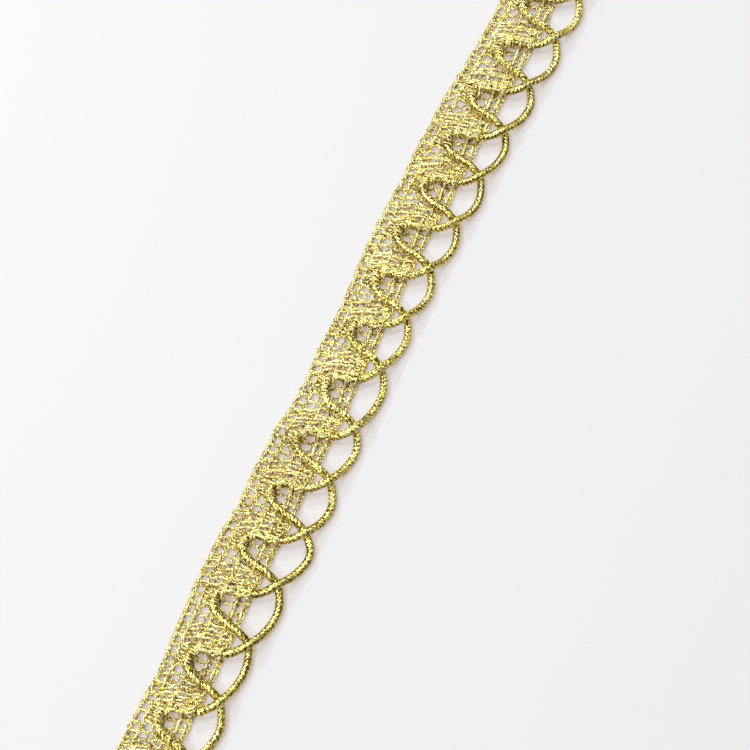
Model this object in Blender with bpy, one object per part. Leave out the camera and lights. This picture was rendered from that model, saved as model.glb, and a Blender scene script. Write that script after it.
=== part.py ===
"""A cut length of metal-thread lace trim with one scalloped edge, lying flat.

A knitted ground runs the whole length. Two gimp cords are laid on it. In each repeat one of them
climbs onto the ground and makes an arch there, while the other hangs below it as a scallop, and at
the next crossing they change places. X runs along the trim, +Y points to its straight heading and
Z up from the surface that it lies on. The origin is the middle of its underside.
"""

from collections import namedtuple

import bpy
import numpy as np

MM = 0.001

# The trim's main sizes, in millimetres.
NODE_DEPTH = 9.72  # from the heading down to where the cords cross, at the nominal width
GROUND_THICK = 1.0
EDGE_THICK = 0.8  # the ground thins a little along its two selvedges
GIMP_WIDTH = 1.0
PIECE_GAP = 0.3
CROSSING_LINE_Y = -4.2  # the straight line through the crossings, in the part's frame
END_PAST_CROSSING = 0.7  # the ends are cut this far past the outermost crossings

# Heights of a cord's centreline, in millimetres.
LOW = GIMP_WIDTH / 2
HIGH = GROUND_THICK + PIECE_GAP + GIMP_WIDTH / 2
OVER = HIGH + 0.1  # where it passes over the other cord

# One row for each repeat, from one crossing of the cords to the next, in millimetres. The crossing
# and the heading above it are heights over the straight line, mid_heading is the heading half way
# along, and drop is how far the scallop's centreline hangs below its two crossings. Lowest is the
# share of the repeat where it hangs lowest.
# The first and the last row only carry the cords past the two cut ends.
Repeat = namedtuple("Repeat", "length crossing heading mid_heading drop lowest")
REPEATS = (
    Repeat(8.20, 0.05, 9.50, 9.50, 1.55, 0.58),
    Repeat(8.20, 0.00, 9.45, 9.40, 1.55, 0.55),
    Repeat(8.20, 0.05, 9.40, 9.45, 1.55, 0.56),
    Repeat(8.15, 0.10, 9.20, 9.70, 1.00, 0.55),
    Repeat(8.60, 0.10, 9.97, 10.35, 1.55, 0.58),
    Repeat(7.85, 0.25, 10.41, 10.38, 1.92, 0.64),
    Repeat(7.80, 0.12, 10.05, 10.31, 1.70, 0.55),
    Repeat(8.00, 0.35, 10.31, 10.27, 1.43, 0.60),
    Repeat(9.25, 0.40, 9.80, 9.85, 1.52, 0.64),
    Repeat(8.24, 0.95, 10.12, 10.04, 1.44, 0.60),
    Repeat(7.91, 1.10, 10.25, 10.58, 1.53, 0.56),
    Repeat(8.00, 1.20, 10.87, 10.95, 1.42, 0.53),
    Repeat(7.90, 0.85, 10.93, 10.75, 1.37, 0.52),
    Repeat(8.00, 0.70, 10.95, 10.80, 1.35, 0.60),
    Repeat(8.30, 0.53, 10.86, 10.53, 1.55, 0.59),
    Repeat(8.70, 0.35, 10.30, 10.00, 1.65, 0.53),
    Repeat(8.20, 0.00, 10.00, 10.00, 1.55, 0.56),
    Repeat(8.20, 0.05, 9.95, 9.95, 1.55, 0.58),
    Repeat(8.20, 0.05, 9.90, 9.90, 1.55, 0.56),
)

# The ground's grid. Each repeat is twelve half courses long, and the rows are bounded by these
# depths below the heading, in millimetres: chain, heading holes, chain, fan holes, bar, eyes,
# chain, small holes, chain.
HALF_COURSES = 12
GRID_START = 0.02  # of a repeat, from the crossing to the grid's first line
ROW_DEPTHS = (0.0, 0.75, 1.35, 2.05, 3.05, 4.5, 5.65, 6.5, 7.0, 7.65)

# The holes of one repeat: the row, the half courses where they lie, and how much wider than a
# half course they are.
Holes = namedtuple("Holes", "row half_courses widening")
HOLES = (
    Holes(1, (0, 2, 4, 6, 8, 10), 1.0),
    Holes(3, (0, 7), 1.3),
    Holes(5, (3, 5), 1.4),
    Holes(7, (2, 4, 6), 1.0),
)

# The cord's route over one repeat on the ground, and as a scallop. Along is the share of the
# repeat, depth is from the heading in millimetres, and fall is the share of the scallop's drop.
# A scallop's route is drawn for one that hangs lowest at USUAL_LOWEST.
OnGround = namedtuple("OnGround", "along depth height")
ARCH = (
    OnGround(0.000, 9.72, LOW),
    OnGround(0.060, 9.05, LOW + 0.16),
    OnGround(0.090, 8.40, LOW + 0.95),
    OnGround(0.120, 7.60, HIGH),
    OnGround(0.140, 6.70, HIGH),
    OnGround(0.155, 5.80, HIGH),
    OnGround(0.180, 4.95, HIGH),
    OnGround(0.225, 4.15, HIGH),
    OnGround(0.290, 3.55, HIGH),
    OnGround(0.380, 3.20, HIGH),
    OnGround(0.460, 3.15, HIGH),
    OnGround(0.540, 3.40, HIGH),
    OnGround(0.605, 4.10, HIGH),
    OnGround(0.640, 5.10, HIGH),
    OnGround(0.665, 6.15, HIGH),
    OnGround(0.695, 7.05, HIGH),
    OnGround(0.745, 7.90, HIGH),
    OnGround(0.830, 8.65, HIGH + 0.03),
    OnGround(0.910, 9.25, OVER),
)
USUAL_LOWEST = 0.56
Hanging = namedtuple("Hanging", "along fall height")
SCALLOP = (
    Hanging(0.00, 0.00, OVER),
    Hanging(0.13, 0.41, HIGH - 0.25),
    Hanging(0.26, 0.69, HIGH - 0.80),
    Hanging(0.40, 0.90, LOW + 0.05),
    Hanging(0.56, 1.00, LOW),
    Hanging(0.68, 0.93, LOW),
    Hanging(0.78, 0.75, LOW),
    Hanging(0.87, 0.50, LOW),
    Hanging(0.95, 0.22, LOW),
)

GIMP_STEP = 0.85  # between two rings of a cord's tube
ROUTE_SAMPLES = 6000
GIMP_RESOLUTION = 1  # gives the tube six sides

KNIT_COLOUR = (0.62, 0.53, 0.20, 1.0)
GIMP_COLOUR = (0.55, 0.43, 0.10, 1.0)


def clear_scene():
    for thing in list(bpy.data.objects):
        bpy.data.objects.remove(thing, do_unlink=True)


def metal_thread(name, colour, roughness):
    """A Principled material for thread wrapped in metal foil."""
    material = bpy.data.materials.new(name)
    material.use_nodes = True
    shader = material.node_tree.nodes["Principled BSDF"]
    shader.inputs["Base Color"].default_value = colour
    shader.inputs["Metallic"].default_value = 0.9
    shader.inputs["Roughness"].default_value = roughness
    return material


def smooth(x, at, values):
    """A cubic through (at, values), each slope taken from the two points beside it."""
    slope = np.gradient(values, at)
    left = np.clip(np.searchsorted(at, x, side="right") - 1, 0, len(at) - 2)
    step = at[left + 1] - at[left]
    t = (x - at[left]) / step
    start = (1 + 2 * t) * (1 - t) ** 2 * values[left] + t * (1 - t) ** 2 * slope[left] * step
    end = t * t * (3 - 2 * t) * values[left + 1] + t * t * (t - 1) * slope[left + 1] * step
    return start + end


# The crossings' places along the trim, with the whole length centred on the origin.
LENGTHS = np.array([repeat.length for repeat in REPEATS])
CROSSING_X = np.concatenate([[0.0], np.cumsum(LENGTHS)])
CROSSING_X = CROSSING_X - (CROSSING_X[1] + CROSSING_X[-2]) / 2
START_X = CROSSING_X[1] - END_PAST_CROSSING
END_X = CROSSING_X[-2] + END_PAST_CROSSING
MIDDLE_X = (CROSSING_X[:-1] + CROSSING_X[1:]) / 2


def crossing_height(x):
    """The height of the line through the crossings, over the straight line."""
    heights = np.array([repeat.crossing for repeat in REPEATS])
    return smooth(x, CROSSING_X[:-1], heights)


def heading_height(x):
    """The height of the heading over the straight line, through its points at and between crossings."""
    at = np.ravel(np.column_stack([CROSSING_X[:-1], MIDDLE_X]))
    heights = np.ravel([[repeat.heading, repeat.mid_heading] for repeat in REPEATS])
    return smooth(x, at, heights)


def across(x, depth):
    """Y of the point at this depth below the heading, the depths stretched to the trim's width there."""
    heading = heading_height(x)
    width = heading - crossing_height(x)
    return CROSSING_LINE_Y + heading - width * depth / NODE_DEPTH


def grid_line_x(line):
    """X of a line between half courses; line 0 is the first after the second row's crossing."""
    repeat, half_course = divmod(line, HALF_COURSES)
    along = half_course / HALF_COURSES + GRID_START
    return CROSSING_X[1 + repeat] + along * LENGTHS[1 + repeat]


def hole_corners(lines, first, last):
    """The cells that are holes, and the shift along X of the grid corners round the wider ones."""
    holes, shifts = set(), {}
    for row, half_courses, widening in HOLES:
        for line in lines[first:last]:
            if line % HALF_COURSES not in half_courses:
                continue
            holes.add((line, row))
            half_width = (grid_line_x(line + 1) - grid_line_x(line)) / 2
            for edge in (row, row + 1):
                shifts[line, edge] = -half_width * (widening - 1)
                shifts[line + 1, edge] = half_width * (widening - 1)
    return holes, shifts


def make_ground(material):
    """The knitted ground: a flat grid of cells with the holes left out, walled all round."""
    count = HALF_COURSES * (len(REPEATS) - 2)
    lines = list(range(-1, count + 1))
    holes, shifts = hole_corners(lines, 1, -1)
    cells = {(line, row) for line in lines for row in range(len(ROW_DEPTHS) - 1)} - holes
    vertices, corner_index, faces = [], {}, []

    def corner(line, edge, top):
        """The index of a grid corner's vertex, made when it is first needed."""
        key = (line, edge, top)
        if key not in corner_index:
            x = START_X if line == lines[0] else END_X if line > lines[-1] else grid_line_x(line)
            x += shifts.get((line, edge), 0.0)
            thick = EDGE_THICK if edge in (0, len(ROW_DEPTHS) - 1) else GROUND_THICK
            y = float(across(np.float64(x), ROW_DEPTHS[edge]))
            corner_index[key] = len(vertices)
            vertices.append((x * MM, y * MM, thick * MM if top else 0.0))
        return corner_index[key]

    for line, row in sorted(cells):
        around = ((line, row), (line, row + 1), (line + 1, row + 1), (line + 1, row))
        faces.append([corner(*place, True) for place in around])
        faces.append([corner(*place, False) for place in reversed(around)])
        beside = ((line - 1, row), (line, row + 1), (line + 1, row), (line, row - 1))
        for side, neighbour in enumerate(beside):
            if neighbour in cells:
                continue
            a, b = around[side], around[(side + 1) % 4]
            faces.append([corner(*b, True), corner(*a, True), corner(*a, False), corner(*b, False)])

    mesh = bpy.data.meshes.new("ground")
    mesh.from_pydata(vertices, [], faces)
    mesh.materials.append(material)
    ground = bpy.data.objects.new("ground", mesh)
    bpy.context.scene.collection.objects.link(ground)
    return ground


def arch_points(index):
    """The route's points where the cord lies on the ground over one repeat."""
    points = []
    for along, depth, height in ARCH:
        x = CROSSING_X[index] + along * LENGTHS[index]
        points.append((x, float(across(np.float64(x), depth)), height))
    return points


def scallop_points(index):
    """The route's points where the cord hangs below the crossings over one repeat."""
    points = []
    for along, fall, height in SCALLOP:
        leaned = np.interp(along, (0.0, USUAL_LOWEST, 1.0), (0.0, REPEATS[index].lowest, 1.0))
        x = CROSSING_X[index] + leaned * LENGTHS[index]
        y = float(across(np.float64(x), NODE_DEPTH)) - fall * REPEATS[index].drop
        points.append((x, y, height))
    return points


def gimp_route(first_is_arch):
    """Evenly spaced points of a cord's centreline between the two cut ends."""
    points = []
    for index in range(len(REPEATS)):
        on_ground = (index % 2 == 0) == first_is_arch
        points += arch_points(index) if on_ground else scallop_points(index)
    points = np.array(points)
    reach = np.concatenate([[0.0], np.cumsum(np.linalg.norm(np.diff(points, axis=0), axis=1))])
    fine = np.linspace(0.0, reach[-1], ROUTE_SAMPLES)
    curve = np.column_stack([smooth(fine, reach, points[:, axis]) for axis in range(3)])
    curve[:, 2] = np.maximum(curve[:, 2], LOW)
    curve = curve[(curve[:, 0] >= START_X) & (curve[:, 0] <= END_X)]
    run = np.concatenate([[0.0], np.cumsum(np.linalg.norm(np.diff(curve, axis=0), axis=1))])
    even = np.linspace(0.0, run[-1], round(run[-1] / GIMP_STEP) + 1)
    return np.column_stack([np.interp(even, run, curve[:, axis]) for axis in range(3)])


def make_gimp(name, first_is_arch, material):
    """One gimp cord: a round tube with closed ends along its route."""
    route = gimp_route(first_is_arch)
    curve = bpy.data.curves.new(name, "CURVE")
    curve.dimensions = "3D"
    curve.bevel_depth = GIMP_WIDTH / 2 * MM
    curve.bevel_resolution = GIMP_RESOLUTION
    curve.use_fill_caps = True
    spline = curve.splines.new("POLY")
    spline.points.add(len(route) - 1)
    for point, place in zip(spline.points, route * MM):
        point.co = (*place, 1.0)
    spline.use_smooth = True
    curve.materials.append(material)
    gimp = bpy.data.objects.new(name, curve)
    bpy.context.scene.collection.objects.link(gimp)
    return gimp


def build():
    clear_scene()
    knit = metal_thread("knit", KNIT_COLOUR, 0.45)
    gimp = metal_thread("gimp", GIMP_COLOUR, 0.35)
    make_ground(knit)
    make_gimp("gimp_a", True, gimp)
    make_gimp("gimp_b", False, gimp)


build()
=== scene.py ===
# %% [markdown]
# # A metal-thread lace trim with a scalloped edge
# The real trim is knitted on a warp machine. Chains of loops run along it, threads zigzag between the
# chains, and two thicker cords, called gimps, are laid in. Each gimp makes an arch on the ground in
# one repeat and hangs as a scallop in the next. A flat picture of the knit on a ribbon would be
# quick, but it would have no depth from the side, so every thread here is a real tube.

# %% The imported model
import math

import bpy
import numpy as np
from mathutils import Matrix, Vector


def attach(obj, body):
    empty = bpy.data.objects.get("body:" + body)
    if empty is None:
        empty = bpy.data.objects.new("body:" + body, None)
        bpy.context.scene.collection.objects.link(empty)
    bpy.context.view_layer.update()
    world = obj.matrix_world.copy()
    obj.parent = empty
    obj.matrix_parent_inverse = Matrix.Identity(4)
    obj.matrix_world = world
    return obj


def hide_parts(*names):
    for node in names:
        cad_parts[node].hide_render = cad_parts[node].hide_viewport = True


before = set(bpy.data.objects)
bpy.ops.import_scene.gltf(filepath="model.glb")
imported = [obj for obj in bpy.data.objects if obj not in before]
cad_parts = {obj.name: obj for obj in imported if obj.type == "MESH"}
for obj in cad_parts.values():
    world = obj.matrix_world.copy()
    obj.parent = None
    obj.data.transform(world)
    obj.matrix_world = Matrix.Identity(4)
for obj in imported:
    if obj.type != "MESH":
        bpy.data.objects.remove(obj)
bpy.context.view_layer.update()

# %% [markdown]
# ## Camera
# The trim was photographed from above and a little from one side, so its far end is only slightly
# smaller. A 75 mm lens about 21 cm away gives that perspective. The camera is placed from two
# angles and a distance, which is easier to correct than three coordinates.

# %% Camera
LOOK_AT = Vector((-0.00478, -0.00281, 0.0009))
DISTANCE = 0.2145
ELEVATION = math.radians(72.7)
TURNED = math.radians(64.2)  # from +Y towards +X, the way that the picture's top points

back = Vector((
    -math.sin(TURNED) * math.cos(ELEVATION),
    -math.cos(TURNED) * math.cos(ELEVATION),
    math.sin(ELEVATION),
))
camera_data = bpy.data.cameras.new("camera")
camera_data.lens = 75.0
camera_data.sensor_width = 36.0
camera_data.clip_start = 0.01
camera_data.clip_end = 5.0
camera = bpy.data.objects.new("camera", camera_data)
camera.location = LOOK_AT + back * DISTANCE
camera.rotation_mode = "QUATERNION"
camera.rotation_quaternion = (-back).to_track_quat("-Z", "Y")
bpy.context.scene.collection.objects.link(camera)
bpy.context.scene.camera = camera
print("camera at", [round(c * 1000, 1) for c in camera.location], "mm")

# %% [markdown]
# ## Shader maths
# A material with a dozen Math nodes is hard to read as a list of links. The small class below wraps
# a socket, so that the maths can be written as an expression. Any other node comes from its one
# method, which takes the node's type, its settings and its inputs.

# %% A socket that can be calculated with


class Wire:
    """A material's output socket. + - * on it add Math nodes, and node() adds any other node."""

    def __init__(self, tree, socket=None):
        self.tree = tree
        self.socket = socket

    def node(self, kind, settings=None, inputs=None, output=0):
        """A new node of this type with its settings made first, then its inputs linked or set."""
        made = self.tree.nodes.new(kind)
        for name, value in (settings or {}).items():
            setattr(made, name, value)
        for name, value in (inputs or {}).items():
            if isinstance(value, Wire):
                self.tree.links.new(value.socket, made.inputs[name])
            else:
                made.inputs[name].default_value = value
        return Wire(self.tree, made.outputs[output])

    def math(self, operation, a, b):
        """Math of two values, each a Wire or a number."""
        return self.node("ShaderNodeMath", {"operation": operation}, {0: a, 1: b})

    def __add__(self, other):
        return self.math("ADD", self, other)

    def __sub__(self, other):
        return self.math("SUBTRACT", self, other)

    def __mul__(self, other):
        return self.math("MULTIPLY", self, other)

    def vector(self, operation, other, output="Vector"):
        """Vector Math of this vector and another, or a tuple."""
        return self.node("ShaderNodeVectorMath", {"operation": operation}, {0: self, 1: other}, output)

    def mix(self, low, high):
        """The colour between low and high that this mask asks for."""
        return self.node(
            "ShaderNodeMix", {"data_type": "RGBA"}, {"Factor": self, 6: low, 7: high}, output=2
        )


print("operators:", "+ - * and node()")

# %% [markdown]
# ## Table and light
# Bright metal shows what surrounds it, so the light matters as much as the material. The key light
# stands on the heading's side and gives the short shadow on the scalloped side. Three weaker lights
# from other sides give more facets of the metal a glint. An even sky would wash out the gold, so the
# sky fades from one bright side to a dim one. The table reflects little and glows for the rest, so
# that the shadows on it stay pale.

# %% Table
TABLE_SIDE = 3.0
TABLE_COLOUR = (0.235, 0.283, 0.322)
TABLE_GLOW = (0.42, 0.33, 0.275)
TABLE_ROUGHNESS = 0.6


def plain_material(name, colour, roughness, glow):
    """A Principled material of one even colour that glows a little, for the table."""
    material = bpy.data.materials.new(name)
    material.use_nodes = True
    shader = material.node_tree.nodes["Principled BSDF"]
    shader.inputs["Base Color"].default_value = (*colour, 1.0)
    shader.inputs["Roughness"].default_value = roughness
    shader.inputs["Emission Color"].default_value = (*glow, 1.0)
    shader.inputs["Emission Strength"].default_value = 1.0
    return material


half = TABLE_SIDE / 2
corners = [(-half, -half, 0.0), (half, -half, 0.0), (half, half, 0.0), (-half, half, 0.0)]
table_mesh = bpy.data.meshes.new("table")
table_mesh.from_pydata(corners, [], [(0, 1, 2, 3)])
table_mesh.materials.append(plain_material("light_table", TABLE_COLOUR, TABLE_ROUGHNESS, TABLE_GLOW))
table = bpy.data.objects.new("table", table_mesh)
bpy.context.scene.collection.objects.link(table)
print("table:", TABLE_SIDE, "m square")

# %% Light
LIGHTS = (  # name, direction over the table, height angle, distance and side in metres, watts
    ("key", (0.44, 0.90), 40.0, 0.60, 0.08, 1.50),
    ("window", (-0.05, 0.80), 66.0, 0.60, 0.18, 1.15),
    ("over", (1.00, -0.05), 60.0, 0.60, 0.05, 0.55),
    ("side", (-0.93, 0.36), 50.0, 0.60, 0.11, 1.15),
)


def soft_light(name, direction, height_angle, distance, side, power):
    """A square area light that points at the trim. The height angle is in degrees."""
    data = bpy.data.lights.new(name, "AREA")
    data.shape = "SQUARE"
    data.size = side
    data.energy = power
    rise = math.radians(height_angle)
    towards = Vector((*Vector(direction).normalized() * math.cos(rise), math.sin(rise)))
    light = bpy.data.objects.new(name, data)
    light.location = LOOK_AT + towards * distance
    light.rotation_mode = "QUATERNION"
    light.rotation_quaternion = (-towards).to_track_quat("-Z", "Y")
    bpy.context.scene.collection.objects.link(light)


for row in LIGHTS:
    soft_light(*row)
print("lights:", ", ".join(row[0] for row in LIGHTS))

# %% Sky
SKY_COLOUR = (1.0, 0.985, 0.985, 1.0)
SKY_AXIS = (0.20, 0.60, 0.775)  # towards the brightest part of the sky
SKY_FADE = {  # from the cosine of the angle off that axis to the sky's strength
    "From Min": -0.20, "From Max": 1.00, "To Min": 0.32, "To Max": 1.22,
}

world = bpy.data.worlds.new("graded_sky")
world.use_nodes = True
sky = world.node_tree.nodes["Background"]
sky.inputs["Color"].default_value = SKY_COLOUR
looking = Wire(world.node_tree).node("ShaderNodeTexCoord", output="Generated")
near_axis = looking.vector("DOT_PRODUCT", SKY_AXIS, "Value")
strength = looking.node(
    "ShaderNodeMapRange", {"interpolation_type": "SMOOTHSTEP"}, {"Value": near_axis, **SKY_FADE}
)
world.node_tree.links.new(strength.socket, sky.inputs["Strength"])
bpy.context.scene.world = world
bpy.context.scene.view_settings.view_transform = "Standard"
print("sky strength:", SKY_FADE["To Min"], "to", SKY_FADE["To Max"])

# %% [markdown]
# ## The trim's own coordinates
# A knitted band is never ruled out with a straight edge: the repeats differ a little in length, and
# both edges wander. So each thread is drawn in the band's own coordinates, how many repeats along
# and how deep below the heading, and one function turns these into places. The same table of
# repeats shaped the CAD model, so the threads lie where its solids do.

# %% Repeats
MM = 0.001
NODE_DEPTH = 9.72  # from the heading down to where the gimps cross, at the nominal width
CROSSING_LINE_Y = -4.2
END_PAST_CROSSING = 0.7
USUAL_LENGTH = 8.2

# Length, crossing's height, heading's height there and half way along, scallop's drop, and the
# share where the scallop hangs lowest. The outer two rows only carry the gimps past the cut ends.
REPEATS = np.array([
    (8.20, 0.05, 9.50, 9.50, 1.55, 0.58),
    (8.20, 0.00, 9.45, 9.40, 1.55, 0.55),
    (8.20, 0.05, 9.40, 9.45, 1.55, 0.56),
    (8.15, 0.10, 9.20, 9.70, 1.00, 0.55),
    (8.60, 0.10, 9.97, 10.35, 1.55, 0.58),
    (7.85, 0.25, 10.41, 10.38, 1.92, 0.64),
    (7.80, 0.12, 10.05, 10.31, 1.70, 0.55),
    (8.00, 0.35, 10.31, 10.27, 1.43, 0.60),
    (9.25, 0.40, 9.80, 9.85, 1.52, 0.64),
    (8.24, 0.95, 10.12, 10.04, 1.44, 0.60),
    (7.91, 1.10, 10.25, 10.58, 1.53, 0.56),
    (8.00, 1.20, 10.87, 10.95, 1.42, 0.53),
    (7.90, 0.85, 10.93, 10.75, 1.37, 0.52),
    (8.00, 0.70, 10.95, 10.80, 1.35, 0.60),
    (8.30, 0.53, 10.86, 10.53, 1.55, 0.59),
    (8.70, 0.35, 10.30, 10.00, 1.65, 0.53),
    (8.20, 0.00, 10.00, 10.00, 1.55, 0.56),
    (8.20, 0.05, 9.95, 9.95, 1.55, 0.58),
    (8.20, 0.05, 9.90, 9.90, 1.55, 0.56),
])
LENGTH, CROSSING, HEADING, MID_HEADING, DROP, LOWEST = REPEATS.T

crossing_x = np.concatenate([[0.0], np.cumsum(LENGTH)])
crossing_x -= (crossing_x[1] + crossing_x[-2]) / 2
start_x = crossing_x[1] - END_PAST_CROSSING
end_x = crossing_x[-2] + END_PAST_CROSSING
first, last = 1, len(REPEATS) - 1
EVERY_REPEAT = np.arange(first, last)
END_SHARE = END_PAST_CROSSING / USUAL_LENGTH  # of a repeat
print(f"{last - first} repeats, {end_x - start_x:.1f} mm long")

# %% From band to place


def smooth(x, at, values):
    """A cubic through (at, values), each slope taken from the two points beside it."""
    slope = np.gradient(values, at)
    left = np.clip(np.searchsorted(at, x, side="right") - 1, 0, len(at) - 2)
    step = at[left + 1] - at[left]
    t = (x - at[left]) / step
    start = (1 + 2 * t) * (1 - t) ** 2 * values[left] + t * (1 - t) ** 2 * slope[left] * step
    end = t * t * (3 - 2 * t) * values[left + 1] + t * t * (t - 1) * slope[left + 1] * step
    return start + end


heading_at = np.ravel(np.column_stack([crossing_x[:-1], (crossing_x[:-1] + crossing_x[1:]) / 2]))
heading_heights = np.ravel(np.column_stack([HEADING, MID_HEADING]))


def place(along, depth, height):
    """Points in mm, from repeats along, depth below the heading and height over the table. X runs
    evenly between two crossings, and y = crossing line + heading - width * depth / NODE_DEPTH."""
    x = np.clip(np.interp(along, np.arange(len(crossing_x)), crossing_x), start_x, end_x)
    heading = smooth(x, heading_at, heading_heights)
    width = heading - smooth(x, crossing_x[:-1], CROSSING)
    y = CROSSING_LINE_Y + heading - width * depth / NODE_DEPTH
    return np.stack(np.broadcast_arrays(x, y, height), axis=-1)


print("the middle of the trim lies at", np.round(place(9.5, 4.0, 0.5), 2), "mm")

# %% [markdown]
# ## Threads as tubes
# A thread could be a curve object with a bevel, but thousands of them are lighter and easier to
# control as one mesh. A tube is a ring carried along a path. All paths with the same number of
# points are swept at once as one big array. Each vertex also keeps where it would lie if its
# thread were pulled straight, because the metal foil is wound round the thread and its glints
# have to follow it.

# %% Tubes
THREAD_OFFSET = 7.3  # mm between the straight places of two threads, so that their facets differ


def unit(vectors):
    """The vectors, scaled to length 1."""
    return vectors / np.maximum(np.linalg.norm(vectors, axis=-1, keepdims=True), 1e-9)


def tubes(paths, width, thick, sides, twist, tone=0.5, relief=None):
    """Closed tubes along paths, an array of threads x points x 3 in mm.
    Each ring is an ellipse of this width and thickness, in the plane of the side a = up x tangent
    and the top b = tangent x a. It is turned about the path by twist * length, and by a radian
    more for each thread. Relief gives a share of the radius and a tone for each length and corner."""
    paths = np.asarray(paths, float)
    count, steps = paths.shape[:2]
    tangent = unit(np.gradient(paths, axis=1))
    side = unit(np.cross((0.0, 0.0, 1.0), tangent))
    top = np.cross(tangent, side)
    run = np.linalg.norm(np.diff(paths, axis=1), axis=2).cumsum(axis=1)
    run = np.concatenate([np.zeros((count, 1)), run], axis=1)[..., None]
    corner = 2 * np.pi * np.arange(sides) / sides
    reach, tones = 1.0, np.broadcast_to(tone, (count, steps))[..., None]
    if relief is not None:
        reach, tones = relief(run, corner)
    flat, edge = reach * np.cos(corner) * width / 2, reach * np.sin(corner) * thick / 2
    turned = twist * run + np.arange(count)[:, None, None]
    across = flat * np.cos(turned) - edge * np.sin(turned)
    upward = flat * np.sin(turned) + edge * np.cos(turned)
    points = paths[:, :, None] + across[..., None] * side[:, :, None] + upward[..., None] * top[:, :, None]
    offset = np.arange(count)[:, None, None] * THREAD_OFFSET
    straight = np.stack(np.broadcast_arrays(run + offset, across, upward), axis=-1)
    index = np.arange(count * steps * sides).reshape(count, steps, sides)
    a, b = index[:, :-1], index[:, 1:]
    quads = np.stack([a, b, np.roll(b, -1, axis=2), np.roll(a, -1, axis=2)], axis=-1).reshape(-1, 4)
    caps = [list(ring) for ring in index[:, 0]] + [list(ring[::-1]) for ring in index[:, -1]]
    tones = np.broadcast_to(tones, index.shape)
    return points.reshape(-1, 3), quads.tolist() + caps, straight.reshape(-1, 3), tones.ravel()


line = [[(0.0, 0.0, 1.0), (1.0, 0.0, 1.0), (2.0, 0.0, 1.0)]]
print("a tube of three rings:", len(tubes(line, 1.0, 1.0, 5, 0.0)[0]), "vertices")

# %% One mesh of many tubes


def make_piece(name, parts, material):
    """One mesh object of several sets of tubes, with their straight places and tones as attributes."""
    points, faces, straight, tones = [], [], [], []
    base = 0
    for part_points, part_faces, part_straight, part_tones in parts:
        points.append(part_points)
        straight.append(part_straight)
        tones.append(part_tones)
        faces += [[corner + base for corner in face] for face in part_faces]
        base += len(part_points)
    mesh = bpy.data.meshes.new(name)
    mesh.from_pydata((np.concatenate(points) * MM).tolist(), [], faces)
    mesh.attributes.new("straight", "FLOAT_VECTOR", "POINT").data.foreach_set(
        "vector", np.concatenate(straight).astype(np.float32).ravel()
    )
    mesh.attributes.new("tone", "FLOAT", "POINT").data.foreach_set(
        "value", np.concatenate(tones).astype(np.float32)
    )
    mesh.polygons.foreach_set("use_smooth", np.ones(len(mesh.polygons), bool))
    mesh.materials.append(material)
    piece = bpy.data.objects.new(name, mesh)
    bpy.context.scene.collection.objects.link(piece)
    triangles = sum(len(face) - 2 for face in faces)
    print(f"{name}: {len(mesh.vertices)} vertices, {triangles} triangles")
    return piece


# %% [markdown]
# ## Metal thread
# The thread is a core with narrow metal foil wound round it. Each short stretch of foil faces its
# own way, so the thread glitters instead of shining evenly. Voronoi cells on the straightened
# thread stand for these stretches: each cell tips the normal its own way, and its colour is made
# lighter or darker at random as a painted glint and shade of that stretch.
# A noise bump would look like sand, because it has no flat facets.

# %% Foil material
TONE_SHARE = 0.8  # of a thread's own tone, and of a cell's chance (a painted glint and shade), in a cell's shade
CHANCE_SHARE = 0.8
SHADE_SHIFT = 0.3
ROUGHNESS_SPREAD = 0.2
COAT_ROUGHNESS = 0.08


def foil(name, pale, gold, deep, facet_length, facet_width, tip, roughness, metal, coat):
    """Gold foil in facets of this size in mm. A facet's colour goes from deep, by its shade, to one
    between pale and gold. Its shade adds the thread's tone to the cell's random chance, a painted
    glint and shade of the facet. Tip is how far it may lean, 0 for none. The coat is the clear film
    that the metal lies under, and gives the white sparks."""
    material = bpy.data.materials.new(name)
    material.use_nodes = True
    tree = material.node_tree
    shader = tree.nodes["Principled BSDF"]
    start = Wire(tree)
    straight = start.node("ShaderNodeAttribute", {"attribute_name": "straight"}, output="Vector")
    tone = start.node("ShaderNodeAttribute", {"attribute_name": "tone"}, output="Fac")
    cells_at = straight.vector("MULTIPLY", (1 / facet_length, 1 / facet_width, 1 / facet_width))
    cell = start.node(
        "ShaderNodeTexVoronoi", {"feature": "F1"}, {"Vector": cells_at, "Scale": 1.0}, "Color"
    )
    blue = start.node("ShaderNodeSeparateColor", {}, {"Color": cell}, "Blue")
    hue = Wire(tree, blue.socket.node.outputs["Green"])
    # A cell's random chance lightens or darkens its colour: painted glint and shade of a facet.
    shade = tone * TONE_SHARE + blue * CHANCE_SHARE - SHADE_SHIFT
    colour = shade.mix((*deep, 1.0), hue.mix((*pale, 1.0), (*gold, 1.0)))
    lean = cell.vector("SUBTRACT", (0.5, 0.5, 0.5)).vector("MULTIPLY", (tip, tip, tip))
    normal = start.node("ShaderNodeNewGeometry", output="Normal").vector("ADD", lean)
    facing = start.node("ShaderNodeVectorMath", {"operation": "NORMALIZE"}, {0: normal})
    rough = blue * ROUGHNESS_SPREAD + roughness
    shader.inputs["Metallic"].default_value = metal
    shader.inputs["Coat Weight"].default_value = coat
    shader.inputs["Coat Roughness"].default_value = COAT_ROUGHNESS
    tree.links.new(colour.socket, shader.inputs["Base Color"])
    tree.links.new(rough.socket, shader.inputs["Roughness"])
    tree.links.new(facing.socket, shader.inputs["Normal"])
    print(f"{name}: {len(tree.nodes)} nodes")
    return material


# The knit's deep colour gives the threads' darker random tones, and also the painted shade of the dark-set
# threads.
knit_foil = foil(
    "knit_foil", pale=(0.98, 0.95, 0.67), gold=(0.86, 0.65, 0.06), deep=(0.37, 0.26, 0.01),
    facet_length=0.36, facet_width=0.27, tip=1.1, roughness=0.15, metal=0.7, coat=0.40,
)
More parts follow.
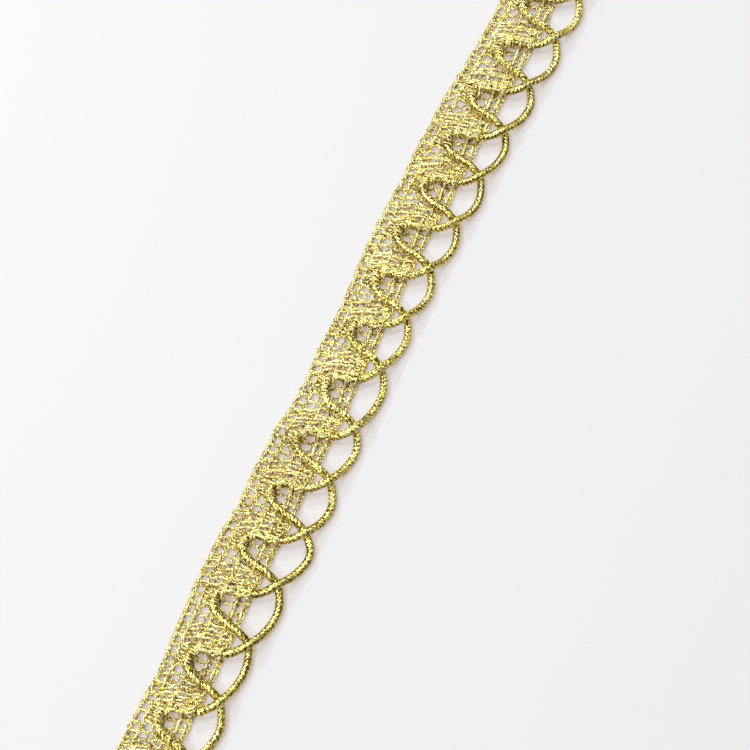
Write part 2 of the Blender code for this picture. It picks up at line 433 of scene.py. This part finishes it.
# The gimp's deep colour, near black, is the painted shade in the creases of the plait.
gimp_foil = foil(
    "gimp_foil", pale=(1.00, 0.91, 0.36), gold=(0.96, 0.73, 0.10), deep=(0.040, 0.018, 0.001),
    facet_length=0.27, facet_width=0.27, tip=0.22, roughness=0.10, metal=1.0, coat=0.25,
)

# %% [markdown]
# ## Chains
# Five chains of loops run the whole length and hold everything else. Each loop closes over the one
# before, so a chain looks like two rows of short dashes that lean towards each other. Two flattened
# coils that lean opposite ways have this look from above, and cost far less than real loops. The
# yarn is a flat strip of foil, so it is an ellipse that twists as it goes and glints at each turn.

# %% Chains
HALF_COURSES = 12  # in a repeat
YARN = 0.36
YARN_THICK = 0.72  # of its width
YARN_SIDES = 5
YARN_TWIST = 2 * np.pi / 1.15  # one turn in this many mm
CHAINS = (  # depth below the heading, half width, height of its middle, tone
    (0.33, 0.18, 0.46, 0.62),
    (1.53, 0.19, 0.48, 0.72),
    (3.85, 0.22, 0.46, 0.62),
    (6.02, 0.20, 0.46, 0.70),
    (7.14, 0.19, 0.46, 0.92),
)
CHAIN_SAMPLES = 11  # in a half course
CHAIN_SLANT = 0.26  # mm that the top of a loop leans along the trim
CHAIN_RISE = 0.17
TURN_DRIFT, SLANT_DRIFT, WIDTH_DRIFT = 0.13, 0.6, 0.25  # in turns, then as shares
DEPTH_DRIFT, HEIGHT_DRIFT, TONE_DRIFT = 0.06, 0.04, 0.22  # in mm, then in tone
BACK_WIDTH, BACK_SLANT, BACK_YARN = 0.85, -0.5, 0.9  # the second coil's, as shares of the first's
BACK_DROP, BACK_TONE = 0.06, -0.2
RUNNER_SAMPLES = 1100
RUNNER_WAVE = 0.07

chance = np.random.default_rng(11)


def wander(at, spread):
    """A value that drifts along at, with a new random target at each whole number."""
    low = int(np.floor(at.min()))
    targets = chance.normal(0.0, spread, int(np.ceil(at.max())) - low + 2)
    return np.interp(at, np.arange(len(targets)) + low, targets)


def coil(depth, half_width, height, slant, start_turn):
    """A flattened coil along the trim, one turn for each half course, and its tone's drift. With
    s = 2 pi turns, along = turns - slant * cos s, depth + half_width * cos s, height + rise * sin s,
    and each of these drifts a little."""
    ends = END_SHARE * HALF_COURSES
    turns = np.linspace(
        first * HALF_COURSES - ends, last * HALF_COURSES + ends,
        int(((last - first) * HALF_COURSES + 2 * ends) * CHAIN_SAMPLES),
    )
    swing = 2 * np.pi * (turns + start_turn + wander(turns, TURN_DRIFT))
    lean = slant * (1 + wander(turns, SLANT_DRIFT))
    along = turns / HALF_COURSES - lean / USUAL_LENGTH * np.cos(swing)
    middle = depth + wander(turns, DEPTH_DRIFT)
    down = middle + half_width * (1 + wander(turns, WIDTH_DRIFT)) * np.cos(swing)
    up = height + wander(turns, HEIGHT_DRIFT) + CHAIN_RISE * np.sin(swing)
    return place(along, down, up)[None], wander(turns, TONE_DRIFT)


def yarn_tubes(paths, tone, width=YARN):
    """Tubes of the flat twisted yarn."""
    return tubes(paths, width, width * YARN_THICK, YARN_SIDES, YARN_TWIST, tone)


def chain(depth, half_width, height, tone):
    """The two coils of a chain, the second half a turn on, leaning back and a little lower."""
    front, shade = coil(depth, half_width, height, CHAIN_SLANT, 0.0)
    back_slant = CHAIN_SLANT * BACK_SLANT
    behind, back_shade = coil(depth, half_width * BACK_WIDTH, height - BACK_DROP, back_slant, 0.5)
    back_tone = tone + BACK_TONE + back_shade
    return [yarn_tubes(front, tone + shade), yarn_tubes(behind, back_tone, YARN * BACK_YARN)]


def runner(depth, height, tone):
    """A thread that runs along the whole trim with a slow wave, as the two edges have."""
    share = np.linspace(first - END_SHARE, last + END_SHARE, RUNNER_SAMPLES)
    beat = share * HALF_COURSES
    down = depth + wander(beat, DEPTH_DRIFT) + RUNNER_WAVE * np.sin(2 * np.pi * beat)
    up = height + RUNNER_WAVE * np.cos(2 * np.pi * beat)
    return yarn_tubes(place(share, down, up)[None], tone)


heading_chains = make_piece(
    "heading_chains",
    chain(*CHAINS[0]) + chain(*CHAINS[1]) + [runner(0.10, 0.36, 0.45)],
    knit_foil,
)
lower_chains = make_piece("lower_chains", chain(*CHAINS[2]) + chain(*CHAINS[3]), knit_foil)
edge_chain = make_piece("edge_chain", chain(*CHAINS[4]) + [runner(7.44, 0.44, 0.95)], knit_foil)

# %% [markdown]
# ## Where the gimps run
# The gimps come before the threads that cross them. In one repeat a gimp makes an arch on the
# ground, in the next it hangs below as a scallop. Each is a table of points, in shares of a repeat,
# and a smooth curve through them is the cord's centreline. At each crossing the gimp that comes
# down from its arch passes over the one that comes up from its scallop.

# %% Routes of the gimps
GIMP_WIDTH = 1.20
LOW = GIMP_WIDTH / 2
HIGH = 1.36  # its middle where it lies on the ground
OVER = LOW + GIMP_WIDTH
ARCH = np.array([  # share of the repeat, depth below the heading, height
    (0.000, 9.72, LOW),
    (0.060, 9.05, LOW + 0.12),
    (0.090, 8.40, LOW + 0.55),
    (0.120, 7.60, HIGH),
    (0.140, 6.70, HIGH),
    (0.155, 5.80, HIGH),
    (0.180, 4.95, HIGH),
    (0.225, 4.15, HIGH),
    (0.290, 3.55, HIGH),
    (0.380, 3.20, HIGH),
    (0.460, 3.15, HIGH),
    (0.540, 3.40, HIGH),
    (0.605, 4.10, HIGH),
    (0.640, 5.10, HIGH),
    (0.665, 6.15, HIGH),
    (0.695, 7.05, HIGH),
    (0.745, 7.90, HIGH),
    (0.830, 8.65, HIGH + 0.10),
    (0.910, 9.25, OVER),
])
SCALLOP = np.array([  # share of the repeat, share of the drop, height
    (0.00, 0.00, OVER),
    (0.13, 0.41, OVER - 0.40),
    (0.26, 0.69, LOW + 0.25),
    (0.40, 0.90, LOW),
    (0.56, 1.00, LOW),
    (0.68, 0.93, LOW),
    (0.78, 0.75, LOW),
    (0.87, 0.50, LOW),
    (0.95, 0.22, LOW),
])
USUAL_LOWEST = 0.56
ROUTE_SAMPLES = 8000


def gimp_route(first_is_arch, step):
    """A gimp's centreline in mm, evenly spaced: arches and scallops by turns, joined by one smooth
    curve that is measured along its own length."""
    points = []
    for index in range(len(REPEATS)):
        if (index % 2 == 0) == first_is_arch:
            x = crossing_x[index] + ARCH[:, 0] * LENGTH[index]
            depth, fall, height = ARCH[:, 1], 0.0, ARCH[:, 2]
        else:
            share = np.interp(SCALLOP[:, 0], (0.0, USUAL_LOWEST, 1.0), (0.0, LOWEST[index], 1.0))
            x = crossing_x[index] + share * LENGTH[index]
            depth, fall, height = NODE_DEPTH, SCALLOP[:, 1] * DROP[index], SCALLOP[:, 2]
        heading = smooth(x, heading_at, heading_heights)
        width = heading - smooth(x, crossing_x[:-1], CROSSING)
        y = CROSSING_LINE_Y + heading - width * depth / NODE_DEPTH - fall
        points.append(np.column_stack([x, y, height]))
    points = np.concatenate(points)
    reach = np.concatenate([[0.0], np.linalg.norm(np.diff(points, axis=0), axis=1).cumsum()])
    fine = np.linspace(0.0, reach[-1], ROUTE_SAMPLES)
    curve = np.column_stack([smooth(fine, reach, points[:, axis]) for axis in range(3)])
    curve[:, 2] = np.maximum(curve[:, 2], LOW)
    curve = curve[(curve[:, 0] >= start_x) & (curve[:, 0] <= end_x)]
    run = np.concatenate([[0.0], np.linalg.norm(np.diff(curve, axis=0), axis=1).cumsum()])
    even = np.linspace(0.0, run[-1], round(run[-1] / step) + 1)
    return np.column_stack([np.interp(even, run, curve[:, axis]) for axis in range(3)]), run[-1]


print("points of an arch and of a scallop:", len(ARCH), len(SCALLOP))

# %% [markdown]
# ## Threads between the chains
# The ground's other threads go from one chain to the next. Where they spread they leave a hole, and
# where they crowd they make the bright slanting fans beside each arch. A random tangle would lose
# these holes, so one repeat's threads are listed by where each leaves the upper chain and joins the
# lower one, and every repeat varies the list a little.

# %% Threads that cross a gimp
ARCH_STEPS = np.linspace(0, len(ARCH) - 1, 91)
ARCH_LINE = np.column_stack([
    np.interp(ARCH_STEPS, np.arange(len(ARCH)), ARCH[:, column]) for column in range(3)
])
RIGHT_OF_ARCH = ARCH_LINE[ARCH_LINE[:, 0] > 0.5]
PRESSED = 0.8  # of its width, how thick a thread is on top of a gimp


def drape(cord, along, depth, height, yarn):
    """The height of threads that pass over a cord, given as rows of along, depth and height. Within
    reach, half of the gimp and of the thread, it is at least middle + sqrt(reach^2 - distance^2)."""
    aside = (np.mod(along, 1.0)[..., None] - cord[:, 0]) * USUAL_LENGTH
    distance = np.hypot(aside, depth[..., None] - cord[:, 1])
    middle = cord[distance.argmin(axis=-1), 2]
    distance = distance.min(axis=-1)
    reach = (GIMP_WIDTH + yarn * PRESSED) / 2
    top = middle + np.sqrt(np.clip(reach**2 - distance**2, 0.0, None))
    return np.where(distance < reach, np.maximum(height, top), height)


def settle(values):
    """Each value averaged with its two neighbours along a thread, twice, the ends kept."""
    for _ in range(2):
        inner = (values[:, :-2] + 2 * values[:, 1:-1] + values[:, 2:]) / 4
        values = np.concatenate([values[:, :1], inner, values[:, -1:]], axis=1)
    return values


print("the gimp is", GIMP_WIDTH, "mm wide and", HIGH, "mm up on the ground")

# %% Threads in every repeat
STRAY = 4.0  # mm down or up for each repeat that a thread's ends stray along
WAVE_TURNS = 1.3  # in a thread's length
WEAVE_TURNS = 1.6
WEAVE = 0.06  # mm up and down
TONE_LIFT, TONE_TOP = 0.05, 1.1
THREAD_TONE_SPREAD, POINT_TONE_SPREAD = 0.20, 0.17


def strands(rows, spread, yarn=YARN, steps=13, over=None, waviness=0.05, repeat=EVERY_REPEAT):
    """Threads in each repeat from rows of along and depth at both ends, height, bulge and tone.
    With t from 0 to 1, along and depth go evenly from end to end, and a wave of waviness mm,
    sin(2 pi (WAVE_TURNS t + random)), is added to both. Height adds bulge * sin(pi t) and a weave
    like it. Spread is how far, in repeats, an end strays. Over is a cord that they pass over."""
    rows = np.array(rows)
    columns = np.repeat(rows.T[:, :, None], len(repeat), axis=2).reshape(7, -1, 1)
    start, start_depth, finish, finish_depth, height, bulge, tone = columns
    base = np.tile(repeat, len(rows))[:, None]
    t = np.linspace(0.0, 1.0, steps)[None]
    shift = chance.normal(0.0, spread, (4, len(start), 1))
    shift[2:] *= STRAY
    wave = waviness * np.sin(2 * np.pi * (WAVE_TURNS * t + chance.random((len(start), 1))))
    along = base + start + shift[0] + (finish - start + shift[1]) * t + wave / USUAL_LENGTH
    depth = start_depth + (finish_depth - start_depth) * t + shift[2] + wave * 0.5
    weave = WEAVE * np.sin(2 * np.pi * (WEAVE_TURNS * t + chance.random((len(start), 1))))
    up = height + bulge * np.sin(np.pi * t) + shift[3] + weave
    if over is not None:
        up = drape(over, along, depth, up, yarn)
    up = np.maximum(settle(up), yarn / 2)
    own = chance.normal(0.0, THREAD_TONE_SPREAD, tone.shape)
    own = own + chance.normal(0.0, POINT_TONE_SPREAD, (len(start), steps))
    tones = np.clip(tone + TONE_LIFT + own, 0.0, TONE_TOP)
    return yarn_tubes(place(along, depth, up), tones, yarn)


def side_by_side(count, start, start_depth, finish, finish_depth, height, bulge, tone):
    """Rows for strands() of threads side by side. Start and finish are pairs, and thread k has
    pair[0] + pair[1] * k."""
    return [
        (start[0] + start[1] * k, start_depth, finish[0] + finish[1] * k, finish_depth, height, bulge, tone)
        for k in range(count)
    ]


UPPER, SECOND, MIDDLE, EYE, LOWER = (row[0] for row in CHAINS)
print("chains at depths", UPPER, SECOND, MIDDLE, EYE, LOWER, "mm")

# %% Zigzags beside the two edges
COURSES = HALF_COURSES // 2
CLOSER_FROM = 9  # the repeat from which the heading is knitted closer

rungs = []
for course in range(COURSES):
    middle = course / COURSES + 0.03
    for upper, lower in ((UPPER, SECOND), (EYE, LOWER)):
        rungs += [
            (middle - 0.024, upper, middle + 0.000, lower, 0.46, 0.12, 0.75),
            (middle + 0.020, upper, middle - 0.014, lower, 0.34, 0.00, 0.45),
            (middle + 0.000, upper, middle + 0.014, lower, 0.48, 0.14, 0.85),
        ]
for start in (0.66, 0.73, 0.82, 0.90):
    rungs.append((start - 0.02, UPPER, start + 0.03, SECOND, 0.46, 0.10, 0.65))
closer = [
    (0.05 + course / COURSES, UPPER, 0.10 + course / COURSES, SECOND, 0.30, 0.05, 0.40)
    for course in range(COURSES)
]
closer_repeats = np.arange(CLOSER_FROM, last)
knit_zigzags = make_piece(
    "knit_zigzags",
    [strands(rungs, 0.017, steps=9), strands(closer, 0.020, steps=9, repeat=closer_repeats)],
    knit_foil,
)

# %% Fans
FAN_YARN = 0.45
fans = (
    side_by_side(5, (0.60, 0.075), SECOND, (0.745, 0.070), MIDDLE, 0.50, 0.14, 0.95)
    + side_by_side(7, (0.56, 0.082), MIDDLE, (0.655, 0.075), EYE, 0.54, 0.18, 0.95)
    + side_by_side(7, (0.60, 0.078), EYE, (0.67, 0.070), LOWER, 0.50, 0.16, 0.88)
)
leg_cover = (
    side_by_side(2, (0.595, 0.070), MIDDLE - 0.3, (0.62, 0.070), EYE, 0.50, 0.10, 0.50)
    + side_by_side(3, (0.635, 0.060), EYE - 0.3, (0.67, 0.060), LOWER, 0.50, 0.10, 0.55)
)
knit_fans = make_piece(
    "knit_fans",
    [strands(fans + leg_cover, 0.016, FAN_YARN, steps=15, over=RIGHT_OF_ARCH, waviness=0.11)],
    knit_foil,
)

# %% Threads under the fans and round the holes
# The threads under the fans get a low tone: painted shade under the fans.
under_fan = (
    side_by_side(3, (0.74, 0.11), SECOND, (0.66, 0.11), MIDDLE, 0.32, 0.00, 0.35)
    + side_by_side(4, (0.74, 0.12), MIDDLE, (0.68, 0.12), EYE, 0.32, 0.00, 0.35)
)
arch_half = (
    side_by_side(6, (0.27, 0.062), SECOND, (0.24, 0.065), MIDDLE, 0.46, 0.12, 0.60)
    + side_by_side(6, (0.26, 0.062), SECOND, (0.29, 0.060), MIDDLE, 0.36, 0.00, 0.45)
)
eye_sides = [
    (0.10, MIDDLE, 0.125, EYE, 0.45, 0.05, 0.60),
    (0.16, MIDDLE, 0.19, EYE, 0.42, 0.05, 0.50),
    (0.22, MIDDLE, 0.225, EYE, 0.46, 0.08, 0.55),
    (0.265, MIDDLE, 0.26, EYE, 0.40, 0.05, 0.50),
    (0.445, MIDDLE, 0.447, EYE, 0.44, 0.05, 0.75),
    # The two threads below, with a tone under zero, are dark threads put as painted shade in the recess
    # between the second eye and the gimp's right leg.
    (0.600, MIDDLE, 0.600, EYE, 0.36, 0.00, -0.30),
    (0.625, MIDDLE, 0.620, EYE, 0.30, 0.00, -0.30),
    (0.10, SECOND, 0.14, MIDDLE, 0.46, 0.08, 0.75),
]
knit_fillers = make_piece("knit_fillers", [strands(under_fan + arch_half + eye_sides, 0.009)], knit_foil)

# %% Laid-in threads, low in the ground
LAID_UP = 0.24

# The laid-in threads get a low tone: painted shade under the threads above them.
laid = [(0.64, depth, 1.00, depth + 0.1, LAID_UP, 0.0, 0.30) for depth in (2.2, 3.0)]
laid += [(0.60, depth, 1.08, depth + 0.1, LAID_UP, 0.0, 0.30) for depth in (4.4, 5.3)]
laid += [(0.26, depth, 0.64, depth, LAID_UP, 0.0, 0.50) for depth in (1.85, 2.15, 2.5, 2.85, 3.2)]
laid += [(0.66, 6.45, 1.05, 6.50, LAID_UP, 0.0, 0.50), (0.68, 6.75, 1.02, 6.80, LAID_UP, 0.0, 0.50)]
knit_laid = make_piece("knit_laid", [strands(laid, 0.009, steps=22, waviness=0.10)], knit_foil)

# %% Eyes
EYES = (  # along, depth, half width and half height of the thread round each
    (0.365, 4.82, 0.60, 0.74),
    (0.525, 4.82, 0.58, 0.74),
    (0.185, 2.42, 0.68, 0.64),
    (0.040, 2.38, 0.50, 0.64),
)
EYE_YARN, EYE_TONE, EYE_SAMPLES = 0.32, 0.70, 26
EYE_UP, EYE_RIPPLE = 0.52, 0.10  # mm, the ripple three times in a ring
EYE_SIZE_SPREAD, EYE_ALONG_SPREAD, EYE_DEPTH_SPREAD = 0.06, 0.008, 0.06  # share, repeats, mm


def eyelets(centres):
    """Rings of thread round the holes: centre + half width * cos t, depth + half height * sin t and
    EYE_UP + EYE_RIPPLE * sin 3t, each centre and size a little uneven."""
    t = np.linspace(0.0, 2 * np.pi, EYE_SAMPLES)
    repeat = EVERY_REPEAT[:, None]
    paths = []
    for along, depth, half_width, half_height in centres:
        size = 1 + chance.normal(0.0, EYE_SIZE_SPREAD, (2, len(repeat), 1))
        centre = along + chance.normal(0.0, EYE_ALONG_SPREAD, (len(repeat), 1))
        across = repeat + centre + half_width * size[0] / USUAL_LENGTH * np.cos(t)
        middle = depth + chance.normal(0.0, EYE_DEPTH_SPREAD, (len(repeat), 1))
        down = middle + half_height * size[1] * np.sin(t)
        paths.append(place(across, down, EYE_UP + EYE_RIPPLE * np.sin(3 * t)))
    return yarn_tubes(np.concatenate(paths), EYE_TONE, EYE_YARN)


eye_rings = make_piece("eye_rings", [eyelets(EYES)], knit_foil)

# %% Bars under the arch, and thin threads over the gimps
BAR_YARN, THIN_YARN, STITCH_YARN = 0.46, 0.28, 0.32

over_arch = [
    (0.28, 2.6, 0.30, 4.2, 0.50, 0.0, 0.80),
    (0.33, 2.3, 0.36, 4.1, 0.50, 0.0, 0.60),
    (0.40, 2.2, 0.39, 4.0, 0.50, 0.0, 0.90),
    (0.45, 2.3, 0.44, 3.9, 0.50, 0.0, 0.65),
    (0.50, 2.2, 0.49, 3.9, 0.50, 0.0, 0.85),
    (0.55, 2.4, 0.53, 4.1, 0.50, 0.0, 0.75),
    (0.59, 2.7, 0.57, 4.4, 0.50, 0.0, 0.85),
]
bars = strands(
    [
        (0.40, 4.12, 0.76, 3.66, 0.76, 0.90, 1.10),
        (0.44, 4.38, 0.75, 4.00, 0.76, 0.80, 1.05),
        (0.26, 6.06, 0.62, 5.66, 0.74, 0.08, 1.10),
        (0.48, 5.90, 0.84, 5.42, 0.78, 0.12, 1.05),
        (0.26, 7.02, 0.62, 6.94, 0.66, 0.08, 1.00),
    ],
    0.008, BAR_YARN, steps=24, over=ARCH_LINE,
)
thin_threads = strands(
    [
        (0.02, 6.15, 0.30, 5.80, 0.58, 0.05, 0.90),
        (0.05, 5.20, 0.24, 4.95, 0.56, 0.05, 0.70),
        (0.56, 7.15, 0.84, 7.05, 0.58, 0.05, 0.85),
    ],
    0.008, THIN_YARN, steps=22, over=ARCH_LINE,
)
stitches = strands(over_arch, 0.012, STITCH_YARN, steps=17, over=ARCH_LINE)
knit_bars = make_piece("knit_bars", [bars, thin_threads, stitches], knit_foil)

# %% [markdown]
# ## Gimps
# A gimp is a round cord of coarse metal thread plaited over a core, so slanting beads cover it in
# rows, and the beads of two rows meet in a herringbone. They could be a bump in the material, but
# then the cord's outline would stay smooth. Here the radius itself rises and falls, and the colour
# darkens in the creases as painted shade.

# %% The gimps' plait
BEAD_ROWS = 4  # round the cord
BEAD = 0.60  # mm along the cord
BEAD_LEAN = 1.1  # bead lengths, from one side of its row to the other
BEAD_DEPTH = 0.25  # of the cord's radius
BEAD_ROUND, BEAD_SHADE = 0.7, 0.75  # powers, of the radius and of the painted crease shade: below 1, a bead is broad and its creases are narrow
ROW_DIP = 0.35  # of a bead's height, lost between two rows
PAINTED_CREASE_TONE, BEAD_TONE = 0.06, 0.98  # painted shade: the tone in the crease between two rows, and what a bead's middle adds
GIMP_STEP = 0.105  # mm between two rings
GIMP_SIDES = 32
GIMP_TWIST = 2 * np.pi / 440  # one turn in this many mm


def plait(run, corner):
    """Radius and tone of the plaited surface. With x the share across a row, mirrored in every
    second row, bead = |sin(pi * (length / BEAD + BEAD_LEAN * x))|. The radius falls by up to
    BEAD_DEPTH between two beads, and the tone falls with it, also between two rows: painted shade
    in the creases."""
    row = corner / (2 * np.pi) * BEAD_ROWS
    share = row % 1.0
    mirrored = np.where(np.floor(row) % 2 == 0, 1 - share, share)
    bead = np.abs(np.sin(np.pi * (run / BEAD + BEAD_LEAN * mirrored)))
    across = np.sin(np.pi * share)
    crown = bead**BEAD_ROUND * (1 - ROW_DIP + ROW_DIP * across)
    # The tone falls in the creases between beads and rows: painted shade, on top of the real dips of the
    # radius.
    tone = bead**BEAD_SHADE * (PAINTED_CREASE_TONE + BEAD_TONE * np.sqrt(across))
    return 1 - BEAD_DEPTH * (1 - crown), tone


gimps = []
for name, first_is_arch in (("gimp_cord_a", True), ("gimp_cord_b", False)):
    route, length = gimp_route(first_is_arch, GIMP_STEP)
    cord_tube = tubes(route[None], GIMP_WIDTH, GIMP_WIDTH, GIMP_SIDES, GIMP_TWIST, relief=plait)
    gimps.append(make_piece(name, [cord_tube], gimp_foil))
    print(f"{name}: {length:.1f} mm of cord")

# %% [markdown]
# ## Joining the frame
# Each piece says which solid of the CAD model it stands for and which body it moves with. The trim
# has one body, so everything rides on its root.

# %% Ride and replace
knit_pieces = (
    heading_chains, lower_chains, edge_chain, knit_zigzags, knit_fans, knit_fillers, knit_laid,
    knit_bars, eye_rings,
)
for piece in knit_pieces:
    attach(piece, "root")
    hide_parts("ground")
for piece, node in zip(gimps, ("gimp_a", "gimp_b")):
    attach(piece, "root")
    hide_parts(node)
